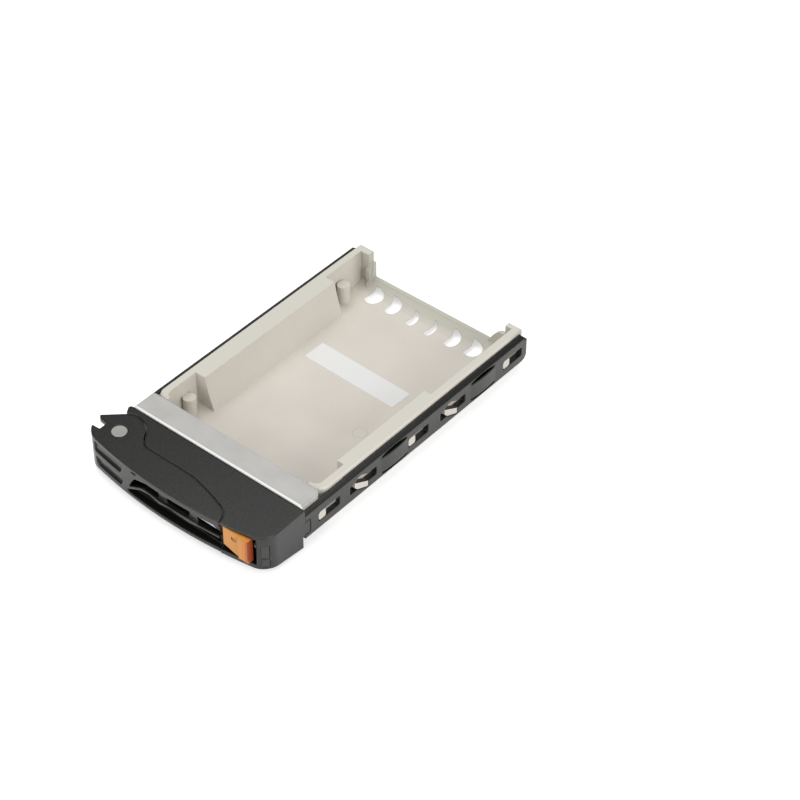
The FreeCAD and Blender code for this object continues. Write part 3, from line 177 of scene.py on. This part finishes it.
def facing_axes(tree):
    """X, Y and Z of the way that the surface faces."""
    where = node(tree, "TexCoord")
    return node(tree, "SeparateXYZ", {"Vector": where.outputs["Normal"]}).outputs


def distance_from(tree, place):
    """How far the shaded place is from another, in millimetres."""
    made = node(tree, "VectorMath", operation="DISTANCE")
    here, there = made.inputs[:2]
    tree.links.new(object_space(tree), here)
    there.default_value = place
    return made.outputs["Value"]


def noise(tree, vector, size, detail=3.0, roughness=0.5):
    """Noise whose features are about size millimetres across."""
    made = node(tree, "TexNoise", {"Vector": vector})
    set_input(made, "Scale", 1.0 / size)
    set_input(made, "Detail", detail)
    set_input(made, "Roughness", roughness)
    return made.outputs["Fac"]


def spread(tree, source, span, out=(0.0, 1.0)):
    """A value mapped from one span to another, and held at its ends."""
    made = node(tree, "MapRange", {"Value": source})
    for name, value in zip(("From Min", "From Max", "To Min", "To Max"), span + out):
        set_input(made, name, value)
    return made.outputs["Result"]


def arithmetic(tree, operation, *terms):
    """One math operation on terms that are sockets or plain numbers."""
    made = node(tree, "Math", operation=operation)
    for socket, term in zip(made.inputs, terms):
        if isinstance(term, float):
            socket.default_value = term
        else:
            tree.links.new(term, socket)
    return made.outputs["Value"]


def blend_colours(tree, fac, low, high):
    """A mix of two colours, each a tuple or a socket."""
    made = tree.nodes.new("ShaderNodeMix")
    made.data_type = "RGBA"
    tree.links.new(fac, made.inputs[MIX_SHARE])
    for socket, colour in ((MIX_LOW, low), (MIX_HIGH, high)):
        if isinstance(colour, tuple):
            made.inputs[socket].default_value = opaque(colour)
        else:
            tree.links.new(colour, made.inputs[socket])
    return made.outputs[MIX_RESULT]


def blend_shaders(tree, fac, low, high):
    """The first shader where fac is 0, the other where it is 1."""
    made = node(tree, "MixShader")
    for socket, source in zip(made.inputs, (fac, low, high)):
        tree.links.new(source, socket)
    return made.outputs[0]


def bump(tree, height, depth, strength, below=None):
    """A bump whose full height is depth millimetres."""
    made = node(tree, "Bump", {"Height": height})
    set_input(made, "Strength", strength)
    set_input(made, "Distance", depth * MM)
    if below is not None:
        tree.links.new(below, made.inputs["Normal"])
    return made.outputs["Normal"]


def worn_and_highlit_edges(tree, radius):
    """White near edges, as wear and as painted highlight, and the normal that is rounded over
    them.
    """
    rounded = node(tree, "Bevel", Radius=radius * MM)
    rounded.samples = EDGE_SAMPLES
    true = node(tree, "NewGeometry")
    dot = node(tree, "VectorMath", operation="DOT_PRODUCT")
    tree.links.new(rounded.outputs["Normal"], dot.inputs[0])
    tree.links.new(true.outputs["Normal"], dot.inputs[1])
    return spread(tree, dot.outputs["Value"], EDGE_WEAR_AND_HIGHLIGHT), rounded.outputs["Normal"]


# Materials
def moulded_plastic(name, colour, tone, roughness, grain=0.35, depth=0.012, edge=0.0,
                    edge_radius=0.25):
    """Moulded plastic: fine spark-eroded grain, slow colour drift, soft edges painted lighter
    as wear and highlight.
    """
    drift_size = 22.0
    drift_span = (0.35, 0.65)
    pit_span = (0.3, 0.75)
    pit_share = 0.25
    pit_shade = 0.72
    gloss_span = (0.3, 0.7)
    smoothest = roughness - 0.06
    roughest = roughness + 0.08
    grain_strength = 0.9

    made, tree, shader = material(name)
    space = object_space(tree)
    fine = noise(tree, space, grain, detail=4.0, roughness=0.6)
    slow = noise(tree, space, drift_size, detail=2.0)
    body = blend_colours(tree, spread(tree, slow, drift_span), colour, tone)
    pits = spread(tree, fine, pit_span, (0.0, pit_share))
    body = blend_colours(tree, pits, body, shaded(colour, pit_shade))
    # Lighter edges: partly wear, partly painted highlight
    wear_and_highlight, soft = worn_and_highlit_edges(tree, edge_radius)
    if edge:
        body = blend_colours(tree, wear_and_highlight, body, shaded(tone, 1 + edge))
    tree.links.new(body, shader.inputs["Base Color"])
    gloss = spread(tree, fine, gloss_span, (smoothest, roughest))
    tree.links.new(gloss, shader.inputs["Roughness"])
    tree.links.new(bump(tree, fine, depth, grain_strength, soft), shader.inputs["Normal"])
    return made


def sheet_metal(name, colour, tone, roughness, metallic=0.85):
    """Plated metal: faint rolling lines, cloudy finish, edges painted brighter as wear and
    highlight.
    """
    line_size = 0.22
    line_stretch = (0.03, 1.0, 1.0)
    line_span = (0.3, 0.7)
    line_share = 0.3
    line_shade = 0.85
    line_depth = 0.006
    line_strength = 0.8
    cloud_size = 9.0
    cloud_span = (0.3, 0.7)
    edge_radius = 0.3
    edge_share = 0.6
    gloss_span = (0.25, 0.75)
    smoothest = roughness - 0.07
    roughest = roughness + 0.1

    made, tree, shader = material(name)
    lines = noise(tree, object_space(tree, line_stretch), line_size, detail=3.0, roughness=0.6)
    cloud = noise(tree, object_space(tree), cloud_size)
    body = blend_colours(tree, spread(tree, cloud, cloud_span), colour, tone)
    rolled = spread(tree, lines, line_span, (0.0, line_share))
    body = blend_colours(tree, rolled, body, shaded(colour, line_shade))
    # Brighter edges: partly wear, partly painted highlight
    wear_and_highlight, soft = worn_and_highlit_edges(tree, edge_radius)
    bare_and_highlit = spread(tree, wear_and_highlight, (0.0, 1.0), (0.0, edge_share))
    body = blend_colours(tree, bare_and_highlit, body, BARE_AND_HIGHLIT_EDGE)
    tree.links.new(body, shader.inputs["Base Color"])
    gloss = spread(tree, lines, gloss_span, (smoothest, roughest))
    tree.links.new(gloss, shader.inputs["Roughness"])
    set_input(shader, "Metallic", metallic)
    tree.links.new(bump(tree, lines, line_depth, line_strength, soft), shader.inputs["Normal"])
    return made


def paint(made, layers):
    """Lay colours over a material's own, each by its mask."""
    tree = made.node_tree
    shader = next(item for item in tree.nodes if item.type == "BSDF_PRINCIPLED")
    body = shader.inputs["Base Color"].links[0].from_socket
    for mask, colour in layers:
        body = blend_colours(tree, mask, body, colour)
    tree.links.new(body, shader.inputs["Base Color"])


def beige_plastic():
    """Light moulding: an ejector ring, and painted shade on the ramp, the upward top faces and
    the lug tops.
    """
    ring_share = 0.45
    ramp_share = 0.9
    level = (0.8, 0.95)
    upward = (0.08, 0.25)

    made = moulded_plastic("beige_plastic", BEIGE, BEIGE_TONE, roughness=0.55, grain=0.5,
                           depth=0.01, edge=0.08)
    tree = made.node_tree
    place = place_axes(tree)
    facing = facing_axes(tree)
    outward = arithmetic(tree, "SUBTRACT", distance_from(tree, EJECTOR_MARK), EJECTOR_RADIUS)
    off_line = arithmetic(tree, "ABSOLUTE", outward)
    ring = spread(tree, off_line, EJECTOR_LINE, (0.0, ring_share))
    # Painted shade on the ramp up to the rear wall
    ramp = spread(tree, place["Y"], RAMP_RISE, (0.0, ramp_share))
    # Painted shade on the upward top faces above the ramp
    top = arithmetic(tree, "MULTIPLY", spread(tree, place["Z"], ABOVE_RAMP),
                     spread(tree, facing["Z"], level))
    # Painted shade on the lug tops outside the wall
    lug_top_shade_mask = arithmetic(tree, "MULTIPLY", spread(tree, place["X"], OUTSIDE_WALL),
                         spread(tree, facing["Z"], upward))
    paint(made, ((ring, RING_GREY), (ramp, RAMP_SHADE), (top, TOP_FACE_SHADE), (lug_top_shade_mask, LUG_SHADE)))
    return made


def orange_plastic():
    """Glossy orange plastic: painted shade as a deeper orange on the ridge's right part and
    red on the right flank, and a brown dimple.
    """
    dimple_share = 0.6
    rightward = (0.5, 0.95)

    made = moulded_plastic("orange_plastic", ORANGE, ORANGE_TONE, roughness=0.35, grain=0.3,
                           depth=0.006, edge=0.2)
    tree = made.node_tree
    # Painted shade: deeper orange on the ridge's right part
    ridge_shade_mask = spread(tree, place_axes(tree)["X"], LATCH_RIDGE)
    # Painted shade on faces turned right, the flank in the recess
    flank_shade_mask = spread(tree, facing_axes(tree)["X"], rightward)
    dimple = spread(tree, distance_from(tree, LATCH_DIMPLE), LATCH_DIMPLE_EDGE,
                    (0.0, dimple_share))
    paint(made, ((ridge_shade_mask, RIDGE_SIDE_SHADE), (flank_shade_mask, FLANK_SHADE), (dimple, DIMPLE_BROWN)))
    return made


def shield_sheet():
    """Zinc plated sheet, with a painted highlight along its front bend and painted shade
    inside the bezel.
    """
    made = sheet_metal("zinc_sheet", ZINC, ZINC_TONE, roughness=0.5, metallic=0.3)
    tree = made.node_tree
    place = place_axes(tree)
    # Painted highlight along the front bend
    bend_highlight_mask = spread(tree, place["Y"], SHIELD_BEND)
    # Painted shade on the web inside the bezel
    web_shade_mask = arithmetic(tree, "MULTIPLY", spread(tree, place["Y"], SHIELD_BEHIND_BEND),
                     spread(tree, place["Z"], SHIELD_WEB))
    paint(made, ((bend_highlight_mask, BEND_HIGHLIGHT), (web_shade_mask, WEB_SHADE)))
    return made


def label_paper():
    """White coated paper with a little fibre."""
    fibre_size = 0.5
    fibre_stretch = (1.0, 3.0, 1.0)
    fibre_span = (0.3, 0.7)

    made, tree, shader = material("label_paper")
    fibre = noise(tree, object_space(tree, fibre_stretch), fibre_size, detail=4.0,
                  roughness=0.7)
    body = blend_colours(tree, spread(tree, fibre, fibre_span), PAPER, PAPER_TONE)
    tree.links.new(body, shader.inputs["Base Color"])
    set_input(shader, "Roughness", 0.55)
    tree.links.new(bump(tree, fibre, depth=0.01, strength=0.5), shader.inputs["Normal"])
    return made


looks = {
    # Black plastic edges painted much lighter: partly wear, partly painted highlight
    "black_plastic": moulded_plastic("black_plastic", BLACK, BLACK_TONE, roughness=0.3,
                                     edge=2.4, edge_radius=0.8),
    "beige_plastic": beige_plastic(),
    "orange_plastic": orange_plastic(),
    "smoked_plastic": moulded_plastic("smoked_plastic", SMOKE, SMOKE_TONE, roughness=0.3,
                                      grain=0.2, depth=0.004),
    "zinc_sheet": shield_sheet(),
    "pin_steel": sheet_metal("pin_steel", PIN_STEEL, PIN_STEEL_TONE, roughness=0.5,
                             metallic=0.4),
    "spring_wire": sheet_metal("spring_wire", WIRE, WIRE_TONE, roughness=0.3),
    "label_paper": label_paper(),
}
slots = {entry["node"]: entry["material_slot"] for entry in frame["record"]["subparts"]}
for name, item in frame["nodes"].items():
    item.data.materials.clear()
    item.data.materials.append(looks[slots[name]])


# Shape helpers
def linked(name, data):
    """A new object in the scene."""
    made = bpy.data.objects.new(name, data)
    bpy.context.scene.collection.objects.link(made)
    return made


def loft(name, lower, upper):
    """A closed solid between two rings of corners, in millimetres."""
    count = len(lower)
    mesh = bpy.data.meshes.new(name)
    faces = [tuple(range(count - 1, -1, -1)), tuple(range(count, 2 * count))]
    for i in range(count):
        after = (i + 1) % count
        faces.append((i, after, count + after, count + i))
    mesh.from_pydata([Vector(spot) * MM for spot in lower + upper], [], faces)
    shape = bmesh.new()
    shape.from_mesh(mesh)
    bmesh.ops.recalc_face_normals(shape, faces=shape.faces)
    shape.to_mesh(mesh)
    shape.free()
    return linked(name, mesh)


def along_x(name, span, profile):
    """A bar along X with a profile of (y, z) corners."""
    left, right = ([(x, y, z) for y, z in profile] for x in span)
    return loft(name, left, right)


def along_y(name, span, profile):
    """A bar along Y with a profile of (x, z) corners."""
    front, rear = ([(x, y, z) for x, z in profile] for y in span)
    return loft(name, front, rear)


def along_z(name, span, profile):
    """A bar along Z with a profile of (x, y) corners."""
    bottom, top = ([(x, y, z) for x, y in profile] for z in span)
    return loft(name, bottom, top)


def rounded_ring(spots, rounds=2):
    """Cut every corner off a closed ring of points, a few times over."""
    kept_parts = (0.25, 0.75)
    for _ in range(rounds):
        cut = []
        for i, here in enumerate(spots):
            after = spots[(i + 1) % len(spots)]
            for part in kept_parts:
                cut.append((here[0] + (after[0] - here[0]) * part,
                            here[1] + (after[1] - here[1]) * part))
        spots = cut
    return spots


def reshaped(node_name, name, body, added, taken):
    """Put a copy in a node's place, with solids joined to it and others cut from it."""
    same_corner = 1e-7
    sharp_angle = math.radians(30)

    made = linked(name, frame["nodes"][node_name].data.copy())
    shape = bmesh.new()
    shape.from_mesh(made.data)
    bmesh.ops.remove_doubles(shape, verts=shape.verts, dist=same_corner)
    shape.to_mesh(made.data)
    shape.free()
    if "custom_normal" in made.data.attributes:
        made.data.attributes.remove(made.data.attributes["custom_normal"])
    for operation, tools in (("UNION", added), ("DIFFERENCE", taken)):
        for tool in tools:
            step = made.modifiers.new(tool.name, "BOOLEAN")
            step.operation = operation
            step.solver = "EXACT"
            step.object = tool
    graph = bpy.context.evaluated_depsgraph_get()
    result = bpy.data.meshes.new_from_object(made.evaluated_get(graph))
    made.modifiers.clear()
    made.data = result
    for tool in added + taken:
        bpy.data.objects.remove(tool)
    result.polygons.foreach_set("use_smooth", [True] * len(result.polygons))
    result.set_sharp_from_angle(angle=sharp_angle)
    result.materials.clear()
    result.materials.append(looks[slots[node_name]])
    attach(made, body)
    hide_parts(node_name)


# Latch: a fuller ridge of (x, y) corners, and the cut under its foot of (y, z) corners
RIDGE_Z = (4.42, 13.68)
RIDGE = ((29.5, -64.84), (31.5, -64.84), (31.95, -64.4), (31.95, -61.7), (29.5, -61.7))
BELOW_RIDGE_X = (28.6, 32.4)
BELOW_RIDGE = ((-65.3, 4.0), (-64.02, 4.0), (-64.02, 5.75), (-65.3, 5.45))

latch_ridge = along_z("latch_ridge", RIDGE_Z, RIDGE)
below_ridge = along_x("below_ridge", BELOW_RIDGE_X, BELOW_RIDGE)
reshaped("release_latch", "latch_shell", "latch", [latch_ridge], [below_ridge])

# Insert: a ramp up to the rear wall and a left rib of (y, z) corners, and a gusset of
# (x, z) corners beside the right rear corner
RAMP_X = (-32.3, 32.3)
RAMP = ((54.0, 0.02), (64.0, 0.02), (64.0, 3.85), (63.35, 3.85), (62.4, 2.95), (61.1, 2.1),
        (59.6, 1.49), (54.0, 1.49))
LEFT_RIB_X = (-29.5, -27.9)
LEFT_RIB = ((64.95, 0.5), (64.95, 9.9), (64.2, 9.95), (63.0, 9.3), (62.0, 8.4), (61.5, 7.5),
            (61.5, 0.5))
RIGHT_GUSSET_Y = (63.35, 64.95)
RIGHT_GUSSET = ((21.5, 3.4), (22.2, 3.95), (23.0, 4.8), (24.0, 6.6), (25.2, 8.1), (26.2, 9.0),
                (27.2, 9.6), (29.8, 9.8), (29.8, 3.4))

# Insert: crescent holes, each the x and y of its rear tip, those of its front tip, and its
# bulge. The x are given at one height and the y at the underside; downwards the holes lean
# back and to the left, along the photograph's line of sight, by so much per millimetre.
HOLES = (
    (-25.6, 64.6, -24.8, 56.4, 5.9), (-18.0, 64.5, -15.4, 56.1, 5.0),
    (-7.4, 63.4, -5.8, 55.9, 3.3), (1.1, 63.4, 2.2, 55.9, 3.0),
    (8.6, 64.5, 10.5, 56.0, 4.9), (17.0, 64.5, 18.3, 56.6, 5.9))
HOLE_X_GIVEN_AT = 2.0
HOLE_LEAN_BACK = 0.88
HOLE_LEAN_LEFT = 0.75
HOLE_Z = (-1.0, 7.0)
# Shares of the way from rear tip to front tip, with shares of the bulge
OUTER_FORM = ((0.06, 0.42), (0.38, 0.95), (0.75, 1.0), (1.04, 0.78), (1.12, 0.42))
# Shares of the way from rear tip to front tip, with millimetres off the straight line
INNER_FORM = ((0.8, 0.5), (0.5, 1.25), (0.2, 0.7))


def crescent_hole(name, rear_x, rear_y, front_x, front_y, bulge):
    """A crescent between two tips, leaning through the floor and the ramp."""
    rear = Vector((rear_x, rear_y))
    chord = Vector((front_x, front_y)) - rear
    side = Vector((-chord.y, chord.x)).normalized()
    ring = [rear]
    ring += [rear + chord * along + side * (bulge * out) for along, out in OUTER_FORM]
    ring.append(rear + chord)
    ring += [rear + chord * along + side * out for along, out in INNER_FORM]
    ring = rounded_ring([tuple(spot) for spot in ring])

    def ring_at(height):
        shift = HOLE_LEAN_LEFT * (height - HOLE_X_GIVEN_AT)
        return [(x + shift, y - HOLE_LEAN_BACK * height, height) for x, y in ring]

    bottom, top = (ring_at(height) for height in HOLE_Z)
    return loft(name, bottom, top)


added = [along_x("ramp", RAMP_X, RAMP), along_x("left_rib", LEFT_RIB_X, LEFT_RIB),
         along_y("right_gusset", RIGHT_GUSSET_Y, RIGHT_GUSSET)]
taken = [crescent_hole("hole_%d" % number, *spots) for number, spots in enumerate(HOLES, 1)]
reshaped("drive_insert", "insert_shell", "frame", added, taken)

# Floor, in metres
FLOOR_HALF = 3.0
FLOOR_GAP = 0.0002
FLOOR_GLOW = 0.5
FLOOR_GRAIN_MM = 3.0


def floor_mesh():
    """A square that lies just under the caddy."""
    height = before[0].z - FLOOR_GAP
    mesh = bpy.data.meshes.new("floor")
    corners = ((-1, -1), (1, -1), (1, 1), (-1, 1))
    spots = [Vector((x * FLOOR_HALF, y * FLOOR_HALF, height)) for x, y in corners]
    mesh.from_pydata(spots, [], [(0, 1, 2, 3)])
    return mesh


def floor_material():
    """Matt and plain to the light, with a glow for the camera and for glossy rays."""
    made, tree, shader = material("floor_white")
    set_input(shader, "Base Color", opaque(PALE_GREY))
    set_input(shader, "Roughness", 0.9)
    grain = noise(tree, object_space(tree), FLOOR_GRAIN_MM)
    tree.links.new(bump(tree, grain, depth=0.01, strength=0.2), shader.inputs["Normal"])
    glow = node(tree, "Emission", Color=opaque(WHITE), Strength=FLOOR_GLOW)
    glowing = node(tree, "AddShader")
    tree.links.new(shader.outputs["BSDF"], glowing.inputs[0])
    tree.links.new(glow.outputs["Emission"], glowing.inputs[1])
    path = node(tree, "LightPath").outputs
    shown = arithmetic(tree, "MAXIMUM", path["Is Camera Ray"], path["Is Glossy Ray"])
    seen = blend_shaders(tree, shown, shader.outputs["BSDF"], glowing.outputs[0])
    output = next(item for item in tree.nodes if item.type == "OUTPUT_MATERIAL")
    tree.links.new(seen, output.inputs["Surface"])
    return made


floor = linked("floor", floor_mesh())
floor.data.materials.append(floor_material())

# Lamps and room, in metres and watts
LAMP_TARGET = Vector((0.0, 0.0, 0.008))
LAMPS = (
    {"name": "key_lamp", "place": (-0.3, 0.3, 1.3), "size": 1.0, "power": 7.5},
    {"name": "fill_lamp", "place": (1.3, -0.2, 0.55), "size": 0.9, "power": 9.0},
    {"name": "front_lamp", "place": (-0.3, -1.3, 0.6), "size": 0.8, "power": 6.0})
ROOM_LIGHT = 0.55
ROOM_IN_REFLECTIONS = 0.2
ROOM_TO_CAMERA = 1.0


def aim(item, place, target):
    item.location = place
    item.rotation_mode = "QUATERNION"
    item.rotation_quaternion = (target - place).to_track_quat("-Z", "Y")


def hang_lamp(name, place, size, power):
    light = bpy.data.lights.new(name, "AREA")
    light.shape = "DISK"
    light.size = size
    light.energy = power
    aim(linked(name, light), Vector(place), LAMP_TARGET)


def light_room():
    """White light all round, shown pale grey: dim in reflections, bright to the camera."""
    world = bpy.data.worlds.new("studio")
    world.use_nodes = True
    tree = world.node_tree
    light = tree.nodes["Background"]
    set_input(light, "Color", opaque(WHITE))
    set_input(light, "Strength", ROOM_LIGHT)
    reflected = node(tree, "Background", Color=opaque(PALE_GREY), Strength=ROOM_IN_REFLECTIONS)
    behind = node(tree, "Background", Color=opaque(PALE_GREY), Strength=ROOM_TO_CAMERA)
    path = node(tree, "LightPath").outputs
    room = blend_shaders(tree, path["Is Glossy Ray"], light.outputs[0], reflected.outputs[0])
    room = blend_shaders(tree, path["Is Camera Ray"], room, behind.outputs[0])
    tree.links.new(room, tree.nodes["World Output"].inputs["Surface"])
    bpy.context.scene.world = world


for lamp in LAMPS:
    hang_lamp(**lamp)
light_room()
bpy.context.scene.view_settings.view_transform = "Standard"

# Camera where the photograph was taken from: metres, and millimetres of film
CAMERA_AZIMUTH = math.radians(40.02)
CAMERA_ELEVATION = math.radians(42.17)
CAMERA_DISTANCE = 0.7593
CAMERA_TARGET = Vector((0.02651, 0.01306, 0.0142))
CAMERA_FILM = 36.0
CAMERA_LENS = 107.96
CAMERA_NEAR = 0.01
CAMERA_FAR = 20.0


def place_camera():
    data = bpy.data.cameras.new("camera")
    data.sensor_width = CAMERA_FILM
    data.lens = CAMERA_LENS
    data.clip_start = CAMERA_NEAR
    data.clip_end = CAMERA_FAR
    camera = linked("camera", data)
    level = math.cos(CAMERA_ELEVATION)
    back = Vector((math.sin(CAMERA_AZIMUTH) * level, -math.cos(CAMERA_AZIMUTH) * level,
                   math.sin(CAMERA_ELEVATION)))
    aim(camera, CAMERA_TARGET + back * CAMERA_DISTANCE, CAMERA_TARGET)
    bpy.context.scene.camera = camera


place_camera()
